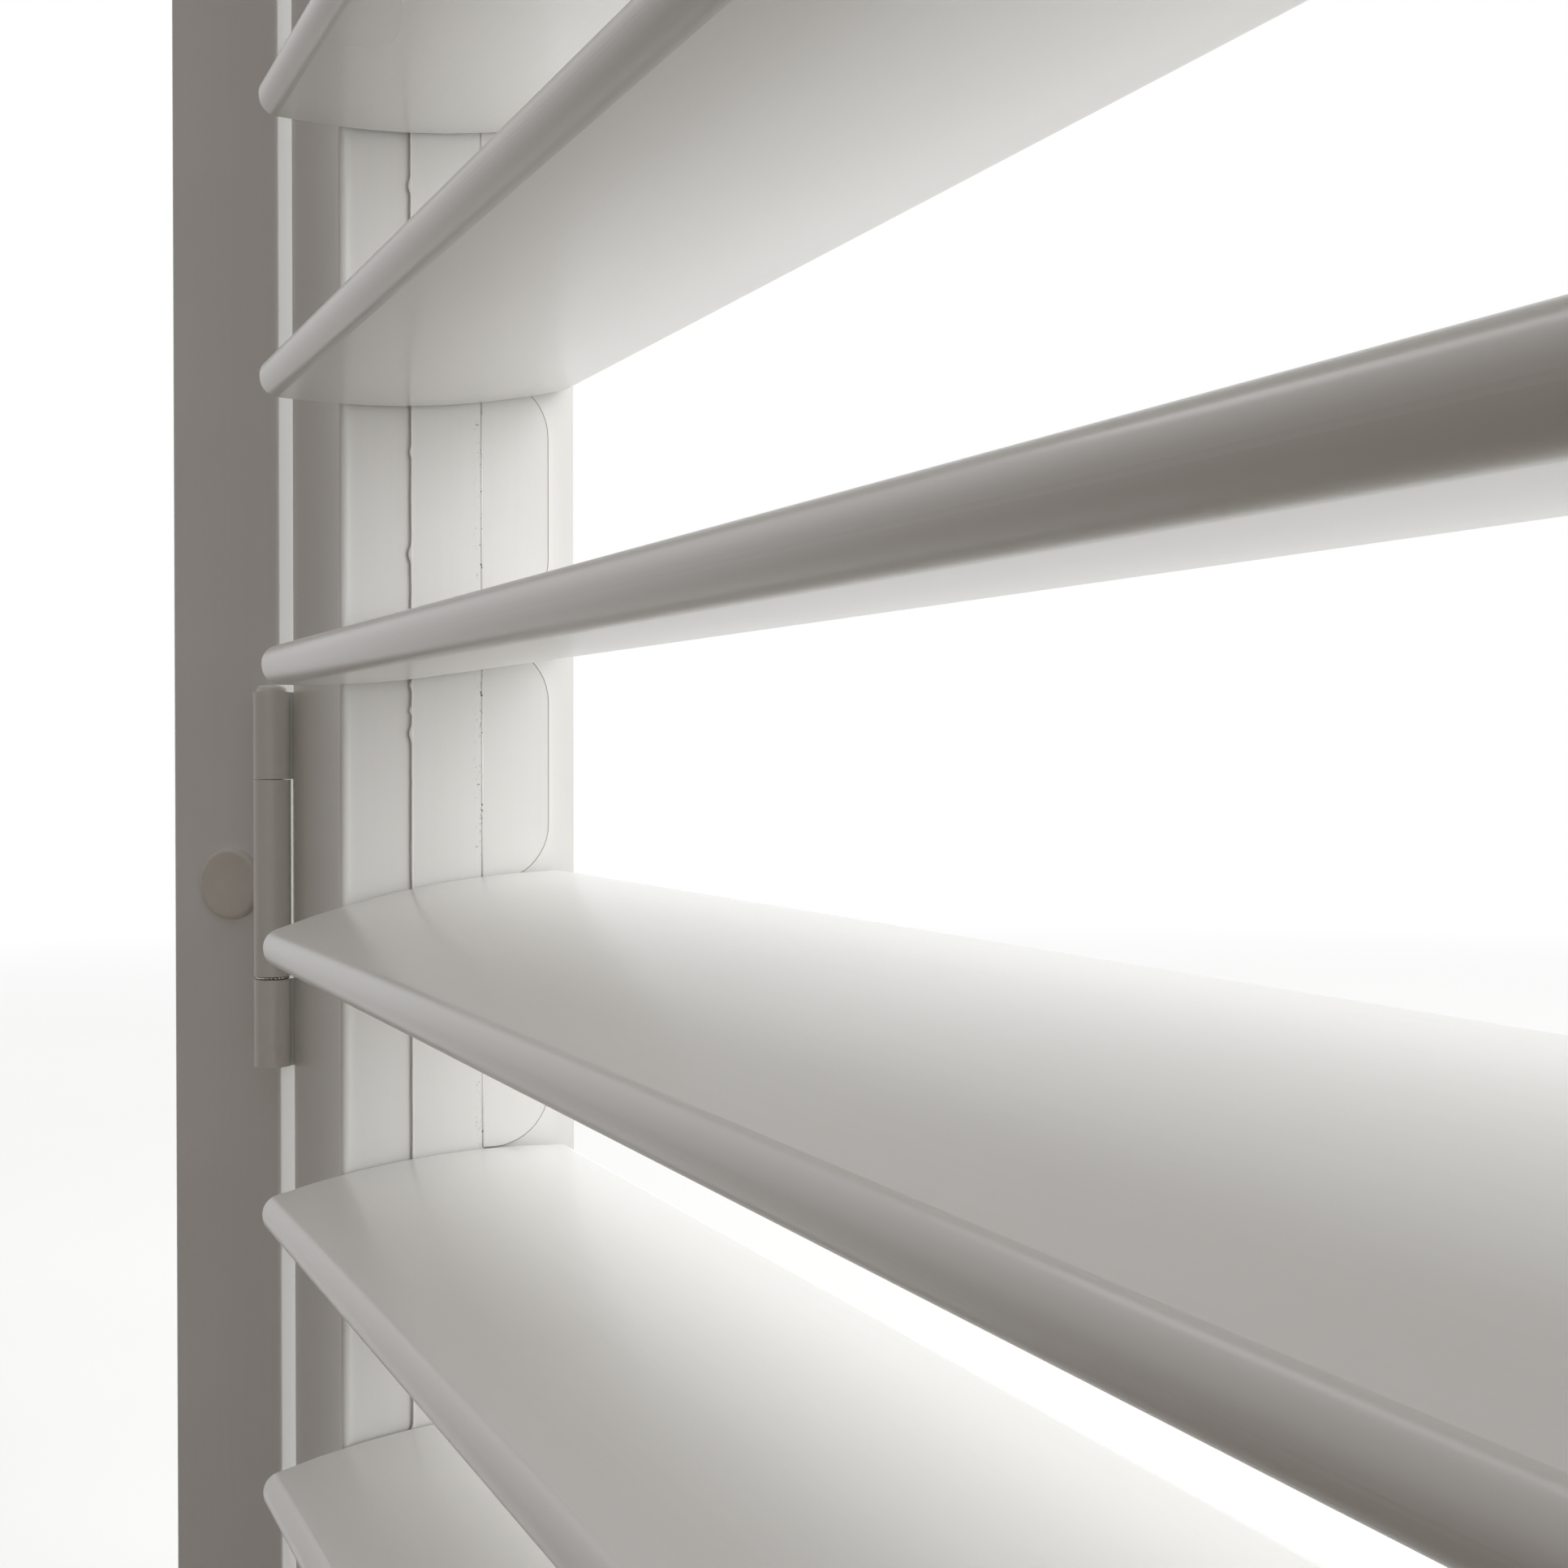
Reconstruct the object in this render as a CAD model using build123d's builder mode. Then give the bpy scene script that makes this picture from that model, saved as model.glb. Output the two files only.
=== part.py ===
from build123d import *
from math import acos, cos, pi, radians, sin, tan
import os

# A single louvred shutter panel hung in its own rebated frame, in millimetres.
# X runs across the window, Y from the room towards the window, and Z up.
# The origin is the middle of the frame's underside. The room is on the -Y side.

# Louvres, numbered from the bottom
louvre_count = 11
louvre_pitch = 54.25
louvre_chord = 64.0
louvre_length = 440.0
louvre_edge = 6.6
louvre_middle = 12.4
louvre_corner = 3.6
louvre_tilt = 5.4
extra_tilts = {3: 4.8, 4: 3.0}

# Panel
pivot_setback = 1.85
end_play = 1.0
stile_width = 49.0
panel_thickness = 29.0
front_arris = 1.2
back_arris = 0.3
bead_width = 1.6
bead_height = 0.8
rail_height = 88.0
rail_thickness = 22.0
rail_round = 2.5
rail_clearance = 34.0
dowel_radius = 4.0
dowel_length = 60.0
dowel_spacing = 44.0

# Batten behind the hinge stile, with a rounded tab between each two louvres
batten_width = 28.0
batten_depth = 19.9
batten_inset = 12.0
tab_depth = 13.9
tab_height = 48.0
tab_thickness = 2.0
tab_round = 11.5
tab_rise = 3.9

# Frame
frame_face = 28.0
frame_depth = 50.0
frame_arris = 0.8
stop_reach = 12.0
stop_clearance = 1.5
panel_gap = 2.5
fixing_radius = 2.75
fixing_head_radius = 4.4
fixing_head_depth = 12.0
fixing_drop = 1.6
fixing_inset = 12.4
cap_radius = 8.0
cap_height = 1.4
cap_round = 1.1
cap_stem = 6.0

# Hinges
rest_opening = 45.0
hinge_inset = 236.0
hinge_height = 81.8
barrel_radius = 4.05
barrel_proud = 4.3
middle_knuckle = 42.9
knuckle_gap_top = 0.15
knuckle_gap_bottom = 0.7
leaf_thickness = 1.2
leaf_width = 16.0
leaf_relief = 0.25
hinge_pin_radius = 2.2
pin_head_radius = 3.3
pin_head_height = 1.4
pin_head_round = 1.1
hinge_clearance = 0.05
screw_spacing = 52.0
screw_inset = 7.2
screw_radius = 1.5
screw_length = 14.0
screw_slot_width = 0.7
screw_slot_depth = 0.6

# Tilt gear, hidden in a channel inside the hinge stile
teeth_between_louvres = 17
pinion_teeth = 12
pressure_angle = 25.0
addendum_factor = 0.9
dedendum_factor = 1.15
tooth_thinning = 0.1
flank_points = 4
pinion_width = 6.0
pinion_side_gap = 0.5
rack_body = 2.6
rack_end = 14.0
rack_side_gap = 0.25
rack_back_gap = 0.1
channel_front_gap = 0.5
channel_end_gap = 12.0
channel_wall = 4.25
pivot_radius = 2.5
pivot_in_louvre = 18.0
pivot_clearance = 0.05
tail_length = 4.0
tail_gap = 0.5
bush_radius = 4.5
bush_length = 6.0

# Magnetic catch on the strike side
catch_inset = 150.0
magnet_radius = 3.5
magnet_depth = 3.5
magnet_proud = 0.5
strike_radius = 4.0
strike_thickness = 0.8

# Panel and frame sizes that follow
panel_width = 2 * stile_width + 2 * end_play + louvre_length
panel_height = (louvre_count - 1) * louvre_pitch + 2 * rail_clearance + 2 * rail_height
frame_width = panel_width + 2 * panel_gap + 2 * frame_face
frame_height = panel_height + 2 * panel_gap + 2 * frame_face
front_y = -frame_depth / 2
back_y = frame_depth / 2
stop_y = front_y + panel_thickness + stop_clearance
panel_bottom = frame_face + panel_gap
panel_top = panel_bottom + panel_height
louvres_bottom = panel_bottom + rail_height
louvres_top = panel_top - rail_height
pivot_heights = [louvres_bottom + rail_clearance + n * louvre_pitch for n in range(louvre_count)]

# Hinge axis, in the middle of the gap and proud of both front faces. The panel turns about it.
axis_x = -frame_width / 2 + frame_face + panel_gap / 2
axis_y = front_y - barrel_proud
swing = radians(rest_opening)
hinge_line = Plane(origin=(axis_x, axis_y, 0))
panel = Plane(origin=(axis_x, axis_y, 0), x_dir=(cos(swing), -sin(swing), 0))

# Distances along the panel from the hinge axis, and back from that axis
stile_outer = panel_gap / 2
stile_inner = stile_outer + stile_width
louvre_start = stile_inner + end_play
louvre_end = louvre_start + louvre_length
strike_inner = louvre_end + end_play
strike_outer = strike_inner + stile_width
panel_front = barrel_proud
panel_middle = panel_front + panel_thickness / 2
panel_back = panel_front + panel_thickness
pivot_depth = panel_middle + pivot_setback

# Tilt gear: a whole number of rack teeth per louvre, so that every pinion meshes alike
rack_pitch = louvre_pitch / teeth_between_louvres
module = rack_pitch / pi
tooth_angle = 2 * pi / pinion_teeth
pitch_radius = pinion_teeth * module / 2
base_radius = pitch_radius * cos(radians(pressure_angle))
tip_radius = pitch_radius + addendum_factor * module
root_radius = pitch_radius - dedendum_factor * module
tooth_width = rack_pitch / 2 - tooth_thinning
rack_tip = pitch_radius - addendum_factor * module
rack_root = pitch_radius + dedendum_factor * module
rack_back = rack_root + rack_body
channel_inner = stile_inner - channel_wall
channel_outer = channel_inner - pinion_width - 2 * pinion_side_gap
channel_front = tip_radius + channel_front_gap
channel_back = rack_back + rack_back_gap
channel_reach = rack_end + channel_end_gap
pivot_bore = pivot_radius + pivot_clearance


def across(distance, height=0.0, tilt=0.0, depth=pivot_depth):
    """Plane across the louvres: X to the panel's back from a depth, Y up, Z along it."""
    corner = panel.from_local_coords((distance, depth, height))
    back = panel.y_dir.rotate(Axis((0, 0, 0), panel.x_dir), tilt)
    return Plane(origin=corner, x_dir=back, z_dir=panel.x_dir)


def block(base, low, high, mode=Mode.ADD):
    """Box between two corners, given in the base plane's own directions."""
    size = [high[i] - low[i] for i in range(3)]
    middle = base.from_local_coords(tuple((high[i] + low[i]) / 2 for i in range(3)))
    with Locations(Plane(origin=middle, x_dir=base.x_dir, z_dir=base.z_dir)):
        Box(size[0], size[1], size[2], mode=mode)


def bores(distance, length, heights, radius, depth=pivot_depth):
    """Cut round holes along the panel, one at each height."""
    with BuildSketch(across(distance, depth=depth)) as circles:
        with Locations(*[(0, height) for height in heights]):
            Circle(radius)
    extrude(circles.sketch, amount=length, mode=Mode.SUBTRACT)


def rods(distance, length, heights, radius, depth=pivot_depth):
    """Round rods along the panel, one at each height."""
    with BuildSketch(across(distance, depth=depth)) as circles:
        with Locations(*[(0, height) for height in heights]):
            Circle(radius)
    extrude(circles.sketch, amount=length)


def save(part, name):
    """Label a finished piece with its name and write it."""
    part.label = name
    export_step(part, f"parts/{name}.step")


# Places of the hinges, their screws, the catch, the fixings and the dowels
hinge_centres = {"lower": panel_bottom + hinge_inset, "upper": panel_top - hinge_inset}
leaf_gap = panel_gap / 2 - leaf_thickness
catch_inward = panel_gap + (stop_reach - panel_gap) / 2
catch_x = frame_width / 2 - frame_face - catch_inward
catch_heights = (panel_bottom + catch_inset, panel_top - catch_inset)
fixing_x = frame_width / 2 - frame_face + fixing_inset
fixing_heights = (
    hinge_centres["lower"] - fixing_drop,
    hinge_centres["upper"] + fixing_drop,
)
dowel_heights = [
    centre + rise
    for centre in (panel_bottom + rail_height / 2, panel_top - rail_height / 2)
    for rise in (-dowel_spacing / 2, dowel_spacing / 2)
]


def stile_screws(centre):
    """Planes of the two screws of a stile leaf, on the side that they are driven from."""
    return [
        Plane(
            origin=panel.from_local_coords((leaf_gap, panel_front + screw_inset, centre + rise)),
            x_dir=panel.y_dir,
            z_dir=-panel.x_dir,
        )
        for rise in (-screw_spacing / 2, screw_spacing / 2)
    ]


def frame_screws(centre):
    """Planes of the two screws of a frame leaf."""
    return [
        Plane(origin=(axis_x - leaf_gap, front_y + screw_inset, centre + rise), z_dir=(1, 0, 0))
        for rise in (-screw_spacing / 2, screw_spacing / 2)
    ]


def strike_screws():
    """Planes of the screws of the strike plates, on the back of the strike stile."""
    distance = strike_outer - catch_inward + panel_gap
    return [
        Plane(
            origin=panel.from_local_coords((distance, panel_back + strike_thickness, height)),
            x_dir=panel.x_dir,
            z_dir=panel.y_dir,
        )
        for height in catch_heights
    ]


def fixings(side):
    """Planes of the fixing holes on the front of one jamb, -1 for the hinge side."""
    return [
        Plane(origin=(side * fixing_x, front_y, height), x_dir=(1, 0, 0), z_dir=(0, -1, 0))
        for height in fixing_heights
    ]


def magnet_seats():
    """Planes of the magnets on the front of the strike jamb's stop."""
    return [
        Plane(origin=(catch_x, stop_y, height), x_dir=(1, 0, 0), z_dir=(0, -1, 0))
        for height in catch_heights
    ]


def screw_shapes(planes, mode):
    """Countersunk shapes, driven against the planes' normals, as screws or as their holes."""
    for plane in planes:
        with BuildSketch(plane.offset(-leaf_thickness)) as shank:
            Circle(screw_radius)
        extrude(shank.sketch, amount=leaf_thickness - screw_length, mode=mode)
        extrude(shank.sketch, amount=leaf_thickness, taper=-45, mode=mode)


def screws(name, planes):
    """Countersunk screws with a cross recess."""
    with BuildPart() as group:
        screw_shapes(planes, Mode.ADD)
        for plane in planes:
            with BuildSketch(plane.offset(-screw_slot_depth)):
                Rectangle(2 * screw_radius, screw_slot_width)
                Rectangle(screw_slot_width, 2 * screw_radius)
            extrude(amount=screw_slot_depth, mode=Mode.SUBTRACT)
    save(group.part, name)


def discs(name, planes, radius, under, over):
    """Round plates, from under each plane to over it."""
    with BuildPart() as group:
        for plane in planes:
            with BuildSketch(plane.offset(-under)):
                Circle(radius)
            extrude(amount=under + over)
    save(group.part, name)


def frame_member(name, start, end):
    """One length of the rebated frame, mitred at both ends and drilled for its fasteners."""
    run = (end - start).normalized()
    inward = Vector(0, 1, 0).cross(run)
    with BuildPart() as member:
        with BuildSketch(Plane(origin=start, x_dir=inward, z_dir=run)):
            with BuildLine():
                Polyline(
                    (0, front_y),
                    (frame_face, front_y),
                    (frame_face, stop_y),
                    (frame_face + stop_reach, stop_y),
                    (frame_face + stop_reach, back_y),
                    (0, back_y),
                    close=True,
                )
            make_face()
        extrude(amount=(end - start).length)
        fillet(member.edges().filter_by(Axis(start, run)).group_by(Axis.Y)[0], frame_arris)
        split(bisect_by=Plane(origin=start, z_dir=run - inward), keep=Keep.TOP)
        split(bisect_by=Plane(origin=end, z_dir=-run - inward), keep=Keep.TOP)
        if name == "hinge_jamb":
            for centre in hinge_centres.values():
                screw_shapes(frame_screws(centre), Mode.SUBTRACT)
        if name == "strike_jamb":
            with Locations(*magnet_seats()):
                Hole(radius=magnet_radius, depth=magnet_depth)
        if name in ("hinge_jamb", "strike_jamb"):
            with Locations(*fixings(-1 if name == "hinge_jamb" else 1)):
                CounterBoreHole(
                    radius=fixing_radius,
                    counter_bore_radius=fixing_head_radius,
                    counter_bore_depth=fixing_head_depth,
                )
    save(member.part, name)


def frame():
    """Four mitred lengths, taken clockwise as seen from the room."""
    corners = [
        Vector(-frame_width / 2, 0, 0),
        Vector(-frame_width / 2, 0, frame_height),
        Vector(frame_width / 2, 0, frame_height),
        Vector(frame_width / 2, 0, 0),
    ]
    names = ["hinge_jamb", "frame_head", "strike_jamb", "frame_sill"]
    for side, name in enumerate(names):
        frame_member(name, corners[side], corners[(side + 1) % len(corners)])


def cover_caps():
    """Low caps with stems that plug the fixing holes on the front of both jambs."""
    places = fixings(-1) + fixings(1)
    with BuildPart() as caps:
        for plane in places:
            with BuildSketch(plane):
                Circle(cap_radius)
            extrude(amount=cap_height)
        fillet(caps.faces().group_by(Axis.Y)[0].edges(), cap_round)
        for plane in places:
            with BuildSketch(plane):
                Circle(fixing_head_radius)
            extrude(amount=-cap_stem)
    save(caps.part, "cover_caps")


def stile_half(name, outer, inner, face):
    """Half a stile, from its joint in the middle of the thickness out to one face."""
    hinge_side = inner > outer
    front = face < panel_middle
    recess = sorted((inner, inner - bead_height if hinge_side else inner + bead_height))
    with BuildPart() as half:
        with BuildSketch(panel.offset(panel_bottom)) as section:
            with BuildLine():
                Polyline(
                    (outer, panel_middle), (outer, face), (inner, face), (inner, panel_middle), close=True
                )
            make_face()
            corners = section.vertices().group_by(Axis.Y)[0 if front else -1]
            fillet(corners, front_arris if front else back_arris)
        extrude(amount=panel_height)
        if front:
            block(
                panel,
                (recess[0], panel_front + bead_width, louvres_bottom),
                (recess[1], panel_middle, louvres_top),
                mode=Mode.SUBTRACT,
            )
        if hinge_side:
            block(
                panel,
                (channel_outer, pivot_depth - channel_front, pivot_heights[0] - channel_reach),
                (channel_inner, pivot_depth + channel_back, pivot_heights[-1] + channel_reach),
                mode=Mode.SUBTRACT,
            )
            bores(channel_inner, channel_wall, pivot_heights, bush_radius)
            bores(channel_outer - tail_length - tail_gap, tail_length + tail_gap, pivot_heights, pivot_bore)
            bores(inner - dowel_length / 2, dowel_length / 2, dowel_heights, dowel_radius, panel_middle)
        else:
            bush_end = bead_height + bush_length
            bores(inner, bush_end, pivot_heights, bush_radius)
            bores(inner + bush_end, tail_length + tail_gap, pivot_heights, pivot_bore)
            bores(inner, dowel_length / 2, dowel_heights, dowel_radius, panel_middle)
        if hinge_side and front:
            for centre in hinge_centres.values():
                screw_shapes(stile_screws(centre), Mode.SUBTRACT)
        if not hinge_side and not front:
            screw_shapes(strike_screws(), Mode.SUBTRACT)
    save(half.part, name)


def rail(name, bottom):
    """A rail between the stiles, with rounded arrises and dowel holes in its ends."""
    half_thickness = rail_thickness / 2
    with BuildPart() as bar:
        block(
            panel,
            (stile_inner, panel_middle - half_thickness, bottom),
            (strike_inner, panel_middle + half_thickness, bottom + rail_height),
        )
        fillet(bar.edges().filter_by(Axis((0, 0, 0), panel.x_dir)), rail_round)
        heights = [height for height in dowel_heights if bottom < height < bottom + rail_height]
        bores(stile_inner, dowel_length / 2, heights, dowel_radius, panel_middle)
        bores(strike_inner - dowel_length / 2, dowel_length / 2, heights, dowel_radius, panel_middle)
    save(bar.part, name)


def rail_dowels():
    """Dowels that join the rails to the stiles."""
    with BuildPart() as dowels:
        rods(stile_inner - dowel_length / 2, dowel_length, dowel_heights, dowel_radius, panel_middle)
        rods(strike_inner - dowel_length / 2, dowel_length, dowel_heights, dowel_radius, panel_middle)
    save(dowels.part, "rail_dowels")


def rear_batten():
    """Batten behind the hinge stile, with raised tabs that leave a notch at each louvre."""
    face = stile_inner - tab_thickness
    with BuildPart() as batten:
        block(
            panel,
            (face - batten_width, panel_back, panel_bottom + batten_inset),
            (face, panel_back + batten_depth, panel_top - batten_inset),
        )
        middles = [pivot_heights[0] + (n - 0.5) * louvre_pitch + tab_rise for n in range(louvre_count + 1)]
        with BuildSketch(across(face, depth=panel_back)) as tabs:
            with Locations(*[(tab_depth / 2, height) for height in middles]):
                Rectangle(tab_depth, tab_height)
            fillet(tabs.vertices().group_by(Axis.X)[-1], tab_round)
        extrude(amount=tab_thickness)
    save(batten.part, "rear_batten")


def hinge_leaf(name, base, side, knuckles, bore, planes, centre):
    """A hinge leaf: a plate in the gap, its knuckles about the axis, and its screw holes."""
    bottom = centre - hinge_height / 2
    plate = sorted((side * leaf_gap, side * panel_gap / 2))
    with BuildPart() as leaf:
        block(
            base,
            (plate[0], panel_front + leaf_relief, bottom),
            (plate[1], panel_front + leaf_width, bottom + hinge_height),
        )
        for start, length in knuckles:
            with BuildSketch(base.offset(bottom + start)):
                Circle(barrel_radius)
            extrude(amount=length)
            block(
                base,
                (plate[0], 0, bottom + start),
                (plate[1], panel_front + leaf_relief, bottom + start + length),
            )
        with BuildSketch(base.offset(bottom)):
            Circle(bore)
        extrude(amount=hinge_height, mode=Mode.SUBTRACT)
        screw_shapes(planes, Mode.SUBTRACT)
    save(leaf.part, name)


def hinge_pin(name, centre):
    """The pin of one hinge, with a low domed head on the top knuckle."""
    bottom = centre - hinge_height / 2
    with BuildPart() as pin:
        with BuildSketch(hinge_line.offset(bottom + hinge_height)):
            Circle(pin_head_radius)
        extrude(amount=pin_head_height)
        fillet(pin.edges().group_by(Axis.Z)[-1], pin_head_round)
        with BuildSketch(hinge_line.offset(bottom)):
            Circle(hinge_pin_radius)
        extrude(amount=hinge_height)
    save(pin.part, name)


def hinges():
    """Both hinges, each of a stile leaf, a frame leaf and a pin, with their screws."""
    end_knuckle = (hinge_height - middle_knuckle - knuckle_gap_bottom - knuckle_gap_top) / 2
    outer_knuckles = [(0, end_knuckle), (hinge_height - end_knuckle, end_knuckle)]
    inner_knuckles = [(end_knuckle + knuckle_gap_bottom, middle_knuckle)]
    for level, centre in hinge_centres.items():
        hinge_leaf(
            f"stile_leaf_{level}", panel, 1, outer_knuckles, hinge_pin_radius, stile_screws(centre), centre
        )
        hinge_leaf(
            f"frame_leaf_{level}",
            hinge_line,
            -1,
            inner_knuckles,
            hinge_pin_radius + hinge_clearance,
            frame_screws(centre),
            centre,
        )
        hinge_pin(f"hinge_pin_{level}", centre)
    screws("stile_leaf_screws", [plane for centre in hinge_centres.values() for plane in stile_screws(centre)])
    screws("frame_leaf_screws", [plane for centre in hinge_centres.values() for plane in frame_screws(centre)])


def strike_plates():
    """Steel discs on the back of the strike stile, which the magnets hold."""
    with BuildPart() as plates:
        for plane in strike_screws():
            with BuildSketch(plane):
                Circle(strike_radius)
            extrude(amount=-strike_thickness)
        screw_shapes(strike_screws(), Mode.SUBTRACT)
    save(plates.part, "strike_plates")
    screws("strike_plate_screws", strike_screws())


def louvre(number):
    """A louvre: a slat with crowned faces and blunt edges, bored at both ends for its pins."""
    height = pivot_heights[number - 1]
    tilt = louvre_tilt + extra_tilts.get(number, 0)
    half_chord = louvre_chord / 2
    half_edge = louvre_edge / 2
    half_middle = louvre_middle / 2
    with BuildPart() as slat:
        with BuildSketch(across(louvre_start, height, tilt)) as section:
            with BuildLine():
                ThreePointArc((-half_chord, half_edge), (0, half_middle), (half_chord, half_edge))
                Line((half_chord, half_edge), (half_chord, -half_edge))
                ThreePointArc((half_chord, -half_edge), (0, -half_middle), (-half_chord, -half_edge))
                Line((-half_chord, -half_edge), (-half_chord, half_edge))
            make_face()
            fillet(section.vertices(), louvre_corner)
        extrude(amount=louvre_length)
        bores(louvre_start, pivot_in_louvre, [height], pivot_radius)
        bores(louvre_end - pivot_in_louvre, pivot_in_louvre, [height], pivot_radius)
    save(slat.part, f"louvre_{number:02d}")


def polar(radius, angle):
    """Point at a radius and an angle."""
    return (radius * cos(angle), radius * sin(angle))


def half_tooth(radius):
    """Half the angle that a pinion tooth fills at a radius, on its involute flanks."""
    working = radians(pressure_angle)
    local = acos(min(1.0, base_radius / radius))
    return tooth_width / 2 / pitch_radius + tan(working) - working - tan(local) + local


def pinion_outline():
    """Outline of the pinion, with a gap between two teeth on its X axis."""
    step = (tip_radius - base_radius) / (flank_points - 1)
    radii = [base_radius + n * step for n in range(flank_points)]
    foot = half_tooth(base_radius)
    for tooth in range(pinion_teeth):
        middle = (tooth + 0.5) * tooth_angle
        rising = [polar(radius, middle - half_tooth(radius)) for radius in radii]
        falling = [polar(radius, middle + half_tooth(radius)) for radius in reversed(radii)]
        Line(polar(root_radius, middle - foot), rising[0])
        Spline(*rising)
        ThreePointArc(rising[-1], polar(tip_radius, middle), falling[0])
        Spline(*falling)
        Line(falling[-1], polar(root_radius, middle + foot))
        ThreePointArc(
            polar(root_radius, middle + foot),
            polar(root_radius, middle + tooth_angle / 2),
            polar(root_radius, middle + tooth_angle - foot),
        )


def gear_pin(number):
    """The pin at a louvre's geared end: a pinion on a shaft that is pressed into the louvre."""
    height = pivot_heights[number - 1]
    tail = channel_outer - tail_length
    with BuildPart() as pin:
        with BuildSketch(across(channel_outer + pinion_side_gap, height)):
            with BuildLine():
                pinion_outline()
            make_face()
        extrude(amount=pinion_width)
        rods(tail, louvre_start + pivot_in_louvre - tail, [height], pivot_radius)
    save(pin.part, f"gear_pin_{number:02d}")


def plain_pin(number):
    """The plain pin at a louvre's other end."""
    height = pivot_heights[number - 1]
    start = louvre_end - pivot_in_louvre
    end = strike_inner + bead_height + bush_length + tail_length
    with BuildPart() as pin:
        rods(start, end - start, [height], pivot_radius)
    save(pin.part, f"plain_pin_{number:02d}")


def pivot_bushes():
    """Bushes that carry the pins in the inner edges of both stiles."""
    with BuildPart() as bushes:
        rods(channel_inner, channel_wall - bead_height, pivot_heights, bush_radius)
        rods(strike_inner + bead_height, bush_length, pivot_heights, bush_radius)
        bores(channel_inner, channel_wall, pivot_heights, pivot_bore)
        bores(strike_inner, bead_height + bush_length, pivot_heights, pivot_bore)
    save(bushes.part, "pivot_bushes")


def tilt_rack():
    """Rack that joins all the pinions, so that the louvres turn together."""
    low = pivot_heights[0] - rack_end
    high = pivot_heights[-1] + rack_end
    flank = tan(radians(pressure_angle))
    half_tip = tooth_width / 2 - (pitch_radius - rack_tip) * flank
    half_root = tooth_width / 2 + (rack_root - pitch_radius) * flank
    spare = int((rack_end - half_root) / rack_pitch)
    points = [(rack_back, low), (rack_root, low)]
    for tooth in range(-spare, (louvre_count - 1) * teeth_between_louvres + spare + 1):
        middle = pivot_heights[0] + tooth * rack_pitch
        points.append((rack_root, middle - half_root))
        points.append((rack_tip, middle - half_tip))
        points.append((rack_tip, middle + half_tip))
        points.append((rack_root, middle + half_root))
    points.append((rack_root, high))
    points.append((rack_back, high))
    with BuildPart() as rack:
        with BuildSketch(across(channel_outer + rack_side_gap)):
            with BuildLine():
                Polyline(*points, close=True)
            make_face()
        extrude(amount=channel_inner - channel_outer - 2 * rack_side_gap)
    save(rack.part, "tilt_rack")


os.makedirs("parts", exist_ok=True)
frame()
cover_caps()
discs("catch_magnets", magnet_seats(), magnet_radius, magnet_depth, magnet_proud)
stile_half("hinge_stile_front", stile_outer, stile_inner, panel_front)
stile_half("hinge_stile_back", stile_outer, stile_inner, panel_back)
stile_half("strike_stile_front", strike_outer, strike_inner, panel_front)
stile_half("strike_stile_back", strike_outer, strike_inner, panel_back)
rail("bottom_rail", panel_bottom)
rail("top_rail", louvres_top)
rail_dowels()
rear_batten()
hinges()
strike_plates()
pivot_bushes()
tilt_rack()
for number in range(1, louvre_count + 1):
    louvre(number)
    gear_pin(number)
    plain_pin(number)
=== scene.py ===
import math
import random

import bmesh
import bpy
from mathutils import Matrix, Vector


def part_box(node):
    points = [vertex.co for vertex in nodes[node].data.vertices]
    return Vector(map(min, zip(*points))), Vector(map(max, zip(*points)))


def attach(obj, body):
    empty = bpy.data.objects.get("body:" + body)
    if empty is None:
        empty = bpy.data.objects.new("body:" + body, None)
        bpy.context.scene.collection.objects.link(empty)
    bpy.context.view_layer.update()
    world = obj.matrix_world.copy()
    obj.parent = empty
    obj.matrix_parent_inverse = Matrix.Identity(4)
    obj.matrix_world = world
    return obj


# Looks for the louvred shutter, in metres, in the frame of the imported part.

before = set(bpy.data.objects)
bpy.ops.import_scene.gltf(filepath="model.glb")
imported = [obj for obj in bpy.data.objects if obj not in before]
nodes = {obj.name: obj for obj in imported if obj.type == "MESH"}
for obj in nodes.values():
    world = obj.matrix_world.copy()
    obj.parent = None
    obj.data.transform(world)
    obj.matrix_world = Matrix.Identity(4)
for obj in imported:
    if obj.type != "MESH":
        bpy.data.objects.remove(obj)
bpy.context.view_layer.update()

# The panel stands open by this angle at rest. Its own directions are along it, and through it to its back.
OPENING = math.radians(45)
HINGE = Vector((-0.27125, -0.0293, 0))
ALONG = Vector((math.cos(OPENING), -math.sin(OPENING), 0))
BACK = Vector((math.sin(OPENING), math.cos(OPENING), 0))
ACROSS = Vector((1, 0, 0))
UP = Vector((0, 0, 1))
PANEL = Matrix.Translation(HINGE) @ Matrix(
    ((ALONG.x, BACK.x, 0, 0), (ALONG.y, BACK.y, 0, 0), (0, 0, 1, 0), (0, 0, 0, 1))
)
PANEL_INVERSE = PANEL.inverted()

# The stile's inner edge, its joint and its back, measured along the panel and through it from the hinge axis
INNER_EDGE = 0.05025
STILE_JOINT = 0.0188
PANEL_BACK = 0.0333

# The hinges' knuckles. The wider gap is under the middle one.
HINGE_HALF = 0.0409
LOWER_KNUCKLE = 0.019025
KNUCKLE_GAP = 0.0007

# Paint, and what shows in it
LACQUER = (0.82, 0.817, 0.80)
LACQUER_DEEP = (0.80, 0.793, 0.77)
LACQUER_GRAIN = (0.74, 0.722, 0.685)
DIRT = (0.16, 0.14, 0.11)
SCRATCH = Vector((0.15, 0.15, 1.0)).normalized()
ROUGH_WIDTH = 0.0022

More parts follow.
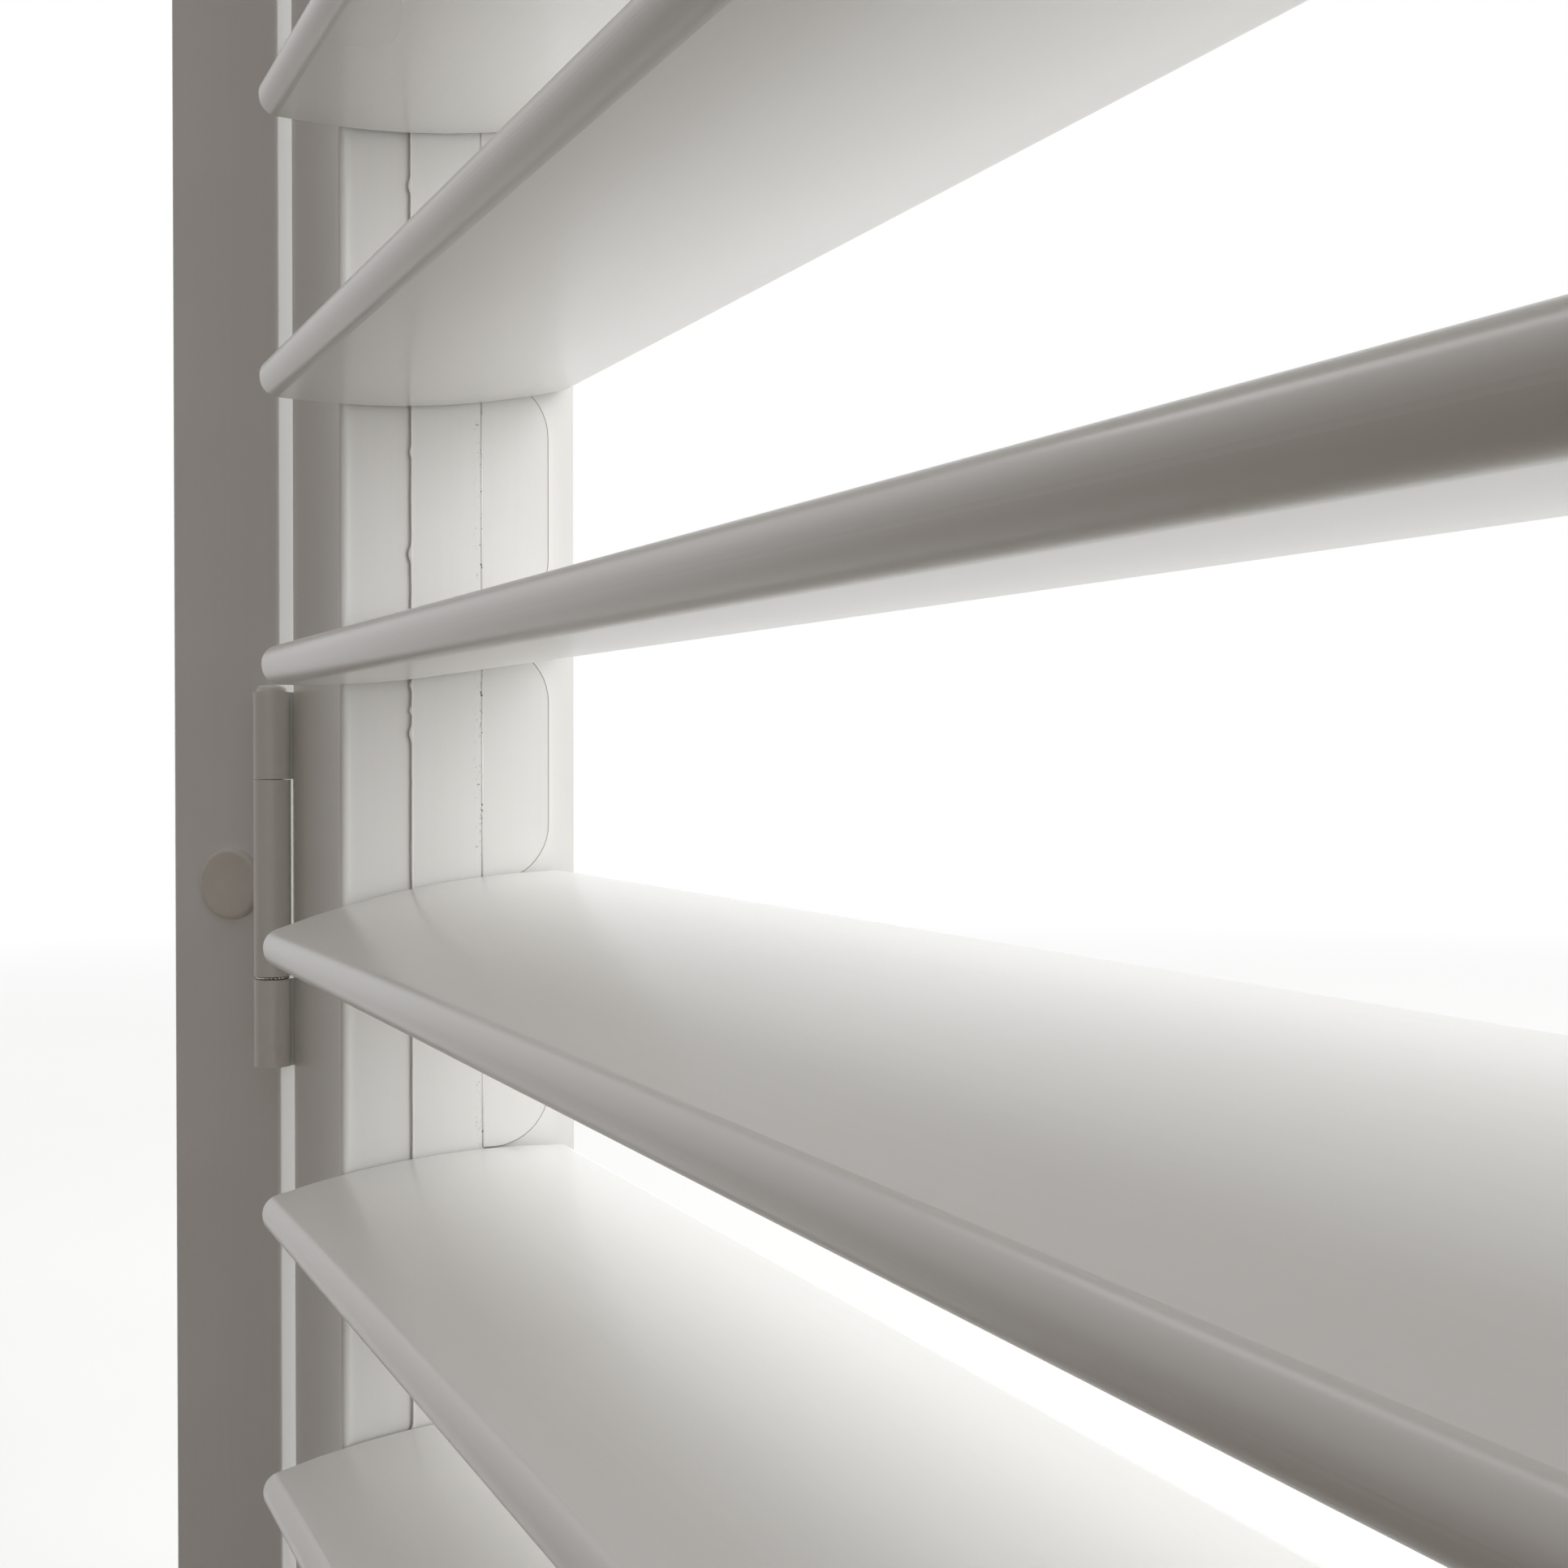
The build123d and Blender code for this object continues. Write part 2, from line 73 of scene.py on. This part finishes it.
# Light: where the window is, and the dome's colours towards the room and towards the window
WINDOW = Vector((0.52, 0.8, 0.22)).normalized()
ROOM_SIDE = (0.115, 0.088, 0.07)
WINDOW_SIDE = (0.96, 0.97, 0.975)
WHITE = (1.0, 1.0, 1.0)

# The floor as it is seen, and as it throws light back on the window's side
FLOOR_HALF = 9
FLOOR_DEEP = (0.83, 0.83, 0.82)
FLOOR_PALE = (0.85, 0.85, 0.84)
FLOOR_LIT = (0.82, 0.82, 0.81)


class Nodes:
    """A node tree that is filled by short calls."""

    def __init__(self, tree):
        self.tree = tree

    def feed(self, socket, value):
        if isinstance(value, bpy.types.NodeSocket):
            self.tree.links.new(value, socket)
        else:
            socket.default_value = value

    def node(self, kind, inputs=(), **settings):
        made = self.tree.nodes.new(kind)
        for key, value in settings.items():
            setattr(made, key, value)
        for key, value in dict(inputs).items():
            self.feed(made.inputs[key], value)
        return made

    def math(self, operation, first, second):
        return self.node("ShaderNodeMath", {0: first, 1: second}, operation=operation).outputs[0]

    def dot(self, vector, direction):
        return self.node(
            "ShaderNodeVectorMath", {0: vector, 1: tuple(direction)}, operation="DOT_PRODUCT"
        ).outputs["Value"]

    def span(self, value, low, high, to_low=0.0, to_high=1.0, **settings):
        return self.node(
            "ShaderNodeMapRange",
            {"Value": value, "From Min": low, "From Max": high, "To Min": to_low, "To Max": to_high},
            **settings,
        ).outputs["Result"]

    def mix(self, amount, first, second):
        made = self.node("ShaderNodeMix", {0: amount}, data_type="RGBA")
        for socket, value in ((made.inputs[6], first), (made.inputs[7], second)):
            self.feed(socket, (*value, 1.0) if isinstance(value, tuple) else value)
        return made.outputs[2]

    def seen_rays(self):
        """1 for rays from the camera and for those that reflect or pass through, and 0 for light."""
        path = self.node("ShaderNodeLightPath").outputs
        seen = self.math("MAXIMUM", path["Is Camera Ray"], path["Is Glossy Ray"])
        return self.math("MAXIMUM", seen, path["Is Transmission Ray"])


class Shader(Nodes):
    """A material on the object's own coordinates."""

    def __init__(self, name):
        self.material = bpy.data.materials.new(name)
        self.material.use_nodes = True
        super().__init__(self.material.node_tree)
        self.surface = self.tree.nodes["Principled BSDF"]
        self.place = self.node("ShaderNodeTexCoord").outputs["Object"]

    def scaled(self, vector, scale):
        return self.node("ShaderNodeVectorMath", {0: vector, "Scale": scale}, operation="SCALE").outputs[0]

    def stretched(self, direction, across, along):
        """Coordinates with different scales across a direction and along it."""
        less = self.math("MULTIPLY", self.dot(self.place, direction), along - across)
        shift = self.scaled(tuple(direction), less)
        wide = self.scaled(self.place, across)
        return self.node("ShaderNodeVectorMath", {0: wide, 1: shift}, operation="ADD").outputs[0]

    def noise(self, vector, scale=1.0, detail=3.0, roughness=0.5):
        return self.node(
            "ShaderNodeTexNoise",
            {"Vector": vector, "Scale": scale, "Detail": detail, "Roughness": roughness},
        ).outputs["Fac"]

    def bump(self, height, depth):
        inputs = {"Height": height, "Distance": depth, "Strength": 1.0}
        return self.node("ShaderNodeBump", inputs).outputs["Normal"]

    def set(self, **sockets):
        for key, value in sockets.items():
            self.feed(self.surface.inputs[key.replace("_", " ")], value)
        return self.material


def lacquer(name, grain, rough_edge=None):
    """Satin lacquer over wood: faint grain along one direction, a brushed film, and dirt beside a rough edge.

    A rough edge is the direction towards it and its distance that way.
    """
    shader = Shader(name)
    cloud = shader.noise(shader.place, scale=7.0)
    fibres = shader.noise(shader.stretched(grain, across=900.0, along=14.0))
    film = shader.noise(shader.place, scale=420.0, detail=1.0)
    colour = shader.mix(shader.span(cloud, 0.3, 0.7), LACQUER_DEEP, LACQUER)
    colour = shader.mix(shader.span(fibres, 0.35, 0.7, 0.0, 0.12), colour, LACQUER_GRAIN)
    height = shader.math("ADD", shader.math("MULTIPLY", fibres, 0.12), shader.math("MULTIPLY", film, 0.25))
    if rough_edge:
        direction, edge = rough_edge
        inside = shader.math("SUBTRACT", edge, shader.dot(shader.place, direction))
        near = shader.math(
            "MULTIPLY",
            shader.span(inside, 0.0, 0.00005),
            shader.span(inside, ROUGH_WIDTH * 0.2, ROUGH_WIDTH, 1.0, 0.0),
        )
        scratches = shader.noise(shader.stretched(SCRATCH, across=2600.0, along=420.0), detail=2.0, roughness=0.6)
        patches = shader.span(shader.noise(shader.place, scale=60.0, detail=2.0), 0.48, 0.6)
        marks = shader.math("MULTIPLY", shader.span(scratches, 0.6, 0.68, 0.0, 0.35), patches)
        specks = shader.noise(shader.place, scale=1500.0, detail=1.0)
        spots = shader.span(specks, 0.68, 0.74, 0.0, 0.9)
        amount = shader.math("MULTIPLY", shader.math("MAXIMUM", marks, spots), near)
        colour = shader.mix(amount, colour, DIRT)
        height = shader.math("SUBTRACT", height, shader.math("MULTIPLY", amount, 1.2))
    return shader.set(
        Base_Color=colour,
        Roughness=shader.span(shader.noise(shader.place, scale=11.0, detail=1.0), 0.1, 0.9, 0.26, 0.35),
        Normal=shader.bump(height, depth=0.00004),
        Coat_Weight=0.35,
        Coat_Roughness=0.18,
    )


def paint_on_steel(name):
    """Thick brushed paint over a steel hinge, a little darker where it thins."""
    shader = Shader(name)
    brush = shader.noise(shader.stretched(UP, across=1400.0, along=40.0), roughness=0.6)
    cloud = shader.noise(shader.place, scale=90.0)
    colour = shader.mix(shader.span(cloud, 0.35, 0.7), (0.775, 0.76, 0.725), (0.80, 0.787, 0.755))
    colour = shader.mix(shader.span(brush, 0.55, 0.8, 0.0, 0.12), colour, (0.66, 0.64, 0.60))
    height = shader.math("ADD", shader.math("MULTIPLY", brush, 0.5), shader.math("MULTIPLY", cloud, 0.3))
    return shader.set(
        Base_Color=colour,
        Roughness=shader.span(cloud, 0.3, 0.7, 0.26, 0.36),
        Normal=shader.bump(height, depth=0.00005),
        Coat_Weight=0.3,
        Coat_Roughness=0.2,
    )


def bare_metal(name, low, high, roughness):
    """Plated steel with fine turned lines and a little tarnish."""
    shader = Shader(name)
    lines = shader.noise(shader.stretched(UP, across=300.0, along=5200.0), detail=2.0)
    tarnish = shader.noise(shader.place, scale=420.0, detail=4.0)
    return shader.set(
        Base_Color=shader.mix(shader.span(tarnish, 0.35, 0.7), low, high),
        Metallic=1.0,
        Roughness=shader.span(lines, 0.3, 0.7, roughness, roughness + 0.12),
        Normal=shader.bump(lines, depth=0.00002),
    )


def moulded(name, low, high, roughness):
    """Moulded plastic with a fine texture and faint flow marks."""
    shader = Shader(name)
    grain = shader.noise(shader.place, scale=2600.0, detail=2.0)
    flow = shader.noise(shader.place, scale=120.0)
    return shader.set(
        Base_Color=shader.mix(shader.span(flow, 0.3, 0.7), low, high),
        Roughness=shader.span(flow, 0.3, 0.7, roughness, roughness + 0.08),
        Normal=shader.bump(grain, depth=0.00002),
        Subsurface_Weight=0.05,
    )


def beech(name):
    """Bare beech dowel, with dark flecks along its length."""
    shader = Shader(name)
    fibres = shader.noise(shader.stretched(ALONG, across=1600.0, along=40.0), detail=4.0, roughness=0.6)
    flecks = shader.noise(shader.stretched(ALONG, across=2600.0, along=260.0), detail=2.0)
    colour = shader.mix(shader.span(fibres, 0.3, 0.7), (0.50, 0.34, 0.20), (0.66, 0.49, 0.32))
    colour = shader.mix(shader.span(flecks, 0.62, 0.7), colour, (0.34, 0.20, 0.11))
    return shader.set(Base_Color=colour, Roughness=0.6, Normal=shader.bump(fibres, depth=0.00008))


looks = {
    "upright": lacquer("lacquer_upright", UP, rough_edge=(BACK, HINGE.dot(BACK) + PANEL_BACK)),
    "bead": lacquer("lacquer_bead", UP),
    # Painted shade: a dark colour for the lines round the batten's tabs, standing for the shade in their gaps
    "gap_shade": moulded("painted_gap_shade", (0.26, 0.24, 0.20), (0.36, 0.33, 0.28), roughness=0.7),
    "rail": lacquer("lacquer_rail", ALONG),
    "louvre": lacquer("lacquer_louvre", ALONG),
    "jamb": lacquer("lacquer_jamb", UP),
    "head": lacquer("lacquer_head", ACROSS),
    "hinge": paint_on_steel("painted_hinge"),
    "pin": bare_metal("hinge_pin_steel", (0.50, 0.49, 0.46), (0.68, 0.67, 0.64), roughness=0.28),
    "screw": bare_metal("screw_steel", (0.52, 0.52, 0.51), (0.66, 0.66, 0.64), roughness=0.3),
    "magnet": bare_metal("magnet_steel", (0.46, 0.46, 0.47), (0.62, 0.62, 0.63), roughness=0.2),
    "cap": moulded("cap_plastic", (0.74, 0.70, 0.63), (0.80, 0.765, 0.70), roughness=0.32),
    "nylon": moulded("gear_nylon", (0.72, 0.705, 0.66), (0.80, 0.79, 0.75), roughness=0.42),
    "dowel": beech("dowel_beech"),
}

# The look of each CAD node whose name starts with one of these
finishes = {
    "hinge_stile": "upright", "strike_stile": "upright", "rear_batten": "upright",
    "top_rail": "rail", "bottom_rail": "rail", "louvre_": "louvre",
    "hinge_jamb": "jamb", "strike_jamb": "jamb", "frame_head": "head", "frame_sill": "head",
    "frame_leaf_screws": "screw", "stile_leaf_screws": "screw", "strike_plate": "screw",
    "frame_leaf_": "hinge", "stile_leaf_": "hinge", "hinge_pin_": "hinge",
    "catch_magnets": "magnet", "cover_caps": "cap", "rail_dowels": "dowel",
    "pivot_bushes": "nylon", "tilt_rack": "nylon", "gear_pin_": "nylon", "plain_pin_": "nylon",
}
for name, node in nodes.items():
    finish = next(look for start, look in finishes.items() if name.startswith(start))
    node.data.materials.clear()
    node.data.materials.append(looks[finish])


# Thin pieces that the solids leave out: a bead of paint on the stile's joint, dark lines of painted shade round the
# tabs of the batten and filler in front of them, and ribbed washers in the hinges
def link(name, shape, look, body):
    bmesh.ops.recalc_face_normals(shape, faces=shape.faces)
    mesh = bpy.data.meshes.new(name)
    shape.to_mesh(mesh)
    shape.free()
    mesh.materials.append(looks[look])
    for face in mesh.polygons:
        face.use_smooth = True
    made = bpy.data.objects.new(name, mesh)
    bpy.context.scene.collection.objects.link(made)
    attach(made, body)


def sweep(shape, sections, closed=False):
    """Skin rings of vertices into a tube, with end caps unless it is closed."""
    rows = [[shape.verts.new(point) for point in section] for section in sections]
    pairs = list(zip(rows, rows[1:]))
    if closed:
        pairs.append((rows[-1], rows[0]))
    else:
        shape.faces.new(list(reversed(rows[0])))
        shape.faces.new(rows[-1])
    for first, second in pairs:
        for side in range(len(first)):
            other = (side + 1) % len(first)
            shape.faces.new((first[side], second[side], second[other], first[other]))


def paint_bead(name, low, high, seed, step=0.0005, drip_count=45):
    """Paint squeezed out of the stile's joint: a thin ragged lip over the edge, with some larger drips."""
    chance = random.Random(seed)
    drips = [
        (chance.uniform(low, high), chance.uniform(0.0008, 0.002), chance.uniform(0.0002, 0.0006))
        for _ in range(drip_count)
    ]
    sections = []
    drift = 0.0
    for index in range(int((high - low) / step) + 1):
        height = low + index * step
        drift = 0.8 * drift + chance.uniform(-0.00004, 0.00004)
        reach = 0.00028 + drift
        for place, spread, size in drips:
            if abs(height - place) < spread:
                reach += size * math.cos(math.pi / 2 * (height - place) / spread)
        over = 0.00016 + 0.5 * drift
        profile = (
            (-reach, -0.0001), (-0.8 * reach, 0.00004), (0.0, 0.00008), (0.8 * over, 0.00004), (over, -0.0001),
        )
        sections.append([PANEL @ Vector((INNER_EDGE + out, STILE_JOINT + away, height)) for away, out in profile])
    shape = bmesh.new()
    sweep(shape, sections)
    link(name, shape, "bead", "panel")


def tab_rims(flat=0.00002, level_front=0.00001):
    """Points in panel coordinates round the face of each tab of the batten, from its front round to its front."""
    batten = nodes["rear_batten"].data
    uses = {}
    for face in batten.polygons:
        local = [PANEL_INVERSE @ batten.vertices[index].co for index in face.vertices]
        if all(abs(point.x - INNER_EDGE) < flat for point in local):
            for edge in face.edge_keys:
                uses[edge] = uses.get(edge, 0) + 1
    neighbours = {}
    for (first, second), count in uses.items():
        if count == 1:
            neighbours.setdefault(first, []).append(second)
            neighbours.setdefault(second, []).append(first)
    points = {index: PANEL_INVERSE @ batten.vertices[index].co for index in neighbours}
    front = min(point.y for point in points.values())
    todo = {index for index in neighbours if points[index].y - front < level_front}
    at_front = set(todo)
    rims = []
    while todo:
        path = [todo.pop()]
        ahead = [other for other in neighbours[path[0]] if other not in at_front]
        while ahead:
            path.append(ahead[0])
            ahead = [other for other in neighbours[path[-1]] if other not in path]
            if path[-1] in todo:
                todo.discard(path[-1])
                break
        if len(path) > 2:
            rims.append([points[index] for index in path])
    return rims


def tab_lines(name, filler_name):
    """A thin dark line of painted shade along the rim of each tab's face, where its gap is, and paint that fills the
    joint in front of the tab.
    """
    rim_line_profile = ((-0.00014, -0.00005), (-0.00011, 0.00003), (0.00003, 0.00003), (0.00003, -0.0004))
    filler_profile = ((-0.0004, -0.0003), (-0.0004, 0.00001), (0.00005, 0.00001), (0.00005, -0.0003))
    shape = bmesh.new()
    filler = bmesh.new()
    for rim in tab_rims():
        sections = []
        for index, point in enumerate(rim):
            way = rim[min(index + 1, len(rim) - 1)] - rim[max(index - 1, 0)]
            way.normalize()
            outward = Vector((1, 0, 0)).cross(way)
            if outward.y < -0.2:
                outward = -outward
            sections.append([
                PANEL @ (point + Vector((rise, 0, 0)) + outward * away) for away, rise in rim_line_profile
            ])
        sweep(shape, sections)
        sweep(filler, [
            [PANEL @ Vector((INNER_EDGE + out, PANEL_BACK + away, height)) for away, out in filler_profile]
            for height in sorted((rim[0].z, rim[-1].z))
        ])
    link(filler_name, filler, "upright", "panel")
    link(name, shape, "gap_shade", "panel")


def washer(name, bottom, inner=0.00225, outer=0.0036, thickness=0.0005, ribs=24, groove=0.88):
    """A thin ribbed ring round the hinge pin."""
    soft = thickness * 0.3
    profile = [
        (inner, soft), (inner + soft, 0), (outer - soft, 0), (outer, soft),
        (outer, thickness - soft), (outer - soft, thickness), (inner + soft, thickness), (inner, thickness - soft),
    ]
    rib_steps = 6
    steps = ribs * rib_steps
    sections = []
    for index in range(steps):
        angle = 2 * math.pi * index / steps
        shrink = 1.0 if index % rib_steps < rib_steps / 2 else groove
        ring = [(radius * shrink if radius > inner + soft else radius, rise) for radius, rise in profile]
        sections.append([
            (HINGE.x + radius * math.cos(angle), HINGE.y + radius * math.sin(angle), bottom + rise)
            for radius, rise in ring
        ])
    shape = bmesh.new()
    sweep(shape, sections, closed=True)
    link(name, shape, "pin", "panel")


paint_bead("stile_joint_bead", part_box("bottom_rail")[1].z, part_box("top_rail")[0].z, seed=3)
# The dark lines round the batten's tabs are painted shade of their gaps
tab_lines("tab_shade_lines", "tab_joint_filler")
for level in ("lower", "upper"):
    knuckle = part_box(f"frame_leaf_{level}")
    middle = (knuckle[0].z + knuckle[1].z) / 2
    gap_top = middle - HINGE_HALF + LOWER_KNUCKLE + KNUCKLE_GAP
    washer(f"hinge_washer_{level}", bottom=gap_top - 0.0006)


# The floor looks pale all over, and fades to the white backdrop away from the object. On the room's side it
# throws back little light, as the room behind the camera does.
mesh = bpy.data.meshes.new("floor")
corners = [(x * FLOOR_HALF, y * FLOOR_HALF, 0) for x, y in ((-1, -1), (1, -1), (1, 1), (-1, 1))]
mesh.from_pydata(corners, [], [(0, 1, 2, 3)])
floor = bpy.data.objects.new("floor", mesh)
bpy.context.scene.collection.objects.link(floor)
ground = Shader("floor_paper")
seen = ground.seen_rays()
outward = ground.dot(ground.place, WINDOW)
thrown = ground.mix(ground.span(outward, -0.3, 0.5), ROOM_SIDE, FLOOR_LIT)
tone = ground.span(ground.noise(ground.place, scale=3.0, detail=2.0), 0.3, 0.7)
pale = ground.mix(tone, FLOOR_DEEP, FLOOR_PALE)
floor.data.materials.append(ground.set(Base_Color=ground.mix(seen, thrown, pale), Roughness=0.9))
distance = ground.node("ShaderNodeVectorMath", {0: ground.place}, operation="LENGTH").outputs["Value"]
far = ground.math("MULTIPLY", ground.span(distance, 0.7, 3.2), seen)
white = ground.node("ShaderNodeEmission", {"Color": (*WHITE, 1.0), "Strength": 1.0})
blend = ground.node("ShaderNodeMixShader", {0: far, 1: ground.surface.outputs[0], 2: white.outputs[0]})
ground.feed(ground.tree.nodes["Material Output"].inputs["Surface"], blend.outputs[0])

# A soft dome, bright on the window's side and dim on the room's. It looks white all over.
world = bpy.data.worlds.new("studio")
bpy.context.scene.world = world
world.use_nodes = True
studio = Nodes(world.node_tree)
toward = studio.dot(studio.node("ShaderNodeTexCoord").outputs["Generated"], WINDOW)
side = studio.span(toward, -0.65, 0.3, interpolation_type="SMOOTHSTEP")
dome = studio.mix(side, ROOM_SIDE, WINDOW_SIDE)
shown = studio.mix(studio.seen_rays(), dome, WHITE)
studio.feed(studio.tree.nodes["Background"].inputs["Color"], shown)


def lamp(name, place, target, size, energy, glossy=False):
    """A square soft lamp that looks at the target. Surfaces mirror it only if it is glossy."""
    light = bpy.data.lights.new(name, "AREA")
    light.shape = "SQUARE"
    light.size = size
    light.energy = energy
    made = bpy.data.objects.new(name, light)
    made.location = place
    made.rotation_mode = "QUATERNION"
    made.rotation_quaternion = (Vector(target) - Vector(place)).to_track_quat("-Z", "Y")
    made.visible_camera = False
    made.visible_glossy = glossy
    bpy.context.scene.collection.objects.link(made)


lamp("window_light", (0.6, 1.2, 2.5), (-0.1, -0.1, 0.4), size=2.0, energy=32)
lamp("side_light", (2.1, -0.9, 1.1), (-0.1, -0.1, 0.4), size=1.6, energy=28)
lamp("left_window", (-1.8, 1.5, 2.8), (-0.2, -0.1, 0.35), size=1.4, energy=8, glossy=True)

# Camera at the photograph's place, turned left from straight ahead and a little down
look_azimuth = math.radians(20.8)
look_down = math.radians(0.757)
look = Vector((
    -math.sin(look_azimuth) * math.cos(look_down), math.cos(look_azimuth) * math.cos(look_down), -math.sin(look_down)
))
camera_data = bpy.data.cameras.new("camera")
camera_data.sensor_width = 36.0
camera_data.lens = 46.93
camera_data.clip_start = 0.005
camera = bpy.data.objects.new("camera", camera_data)
camera.location = (-0.0076, -0.4077, 0.2932)
camera.rotation_mode = "QUATERNION"
camera.rotation_quaternion = look.to_track_quat("-Z", "Y")
bpy.context.scene.collection.objects.link(camera)
bpy.context.scene.camera = camera

bpy.context.scene.view_settings.view_transform = "Standard"
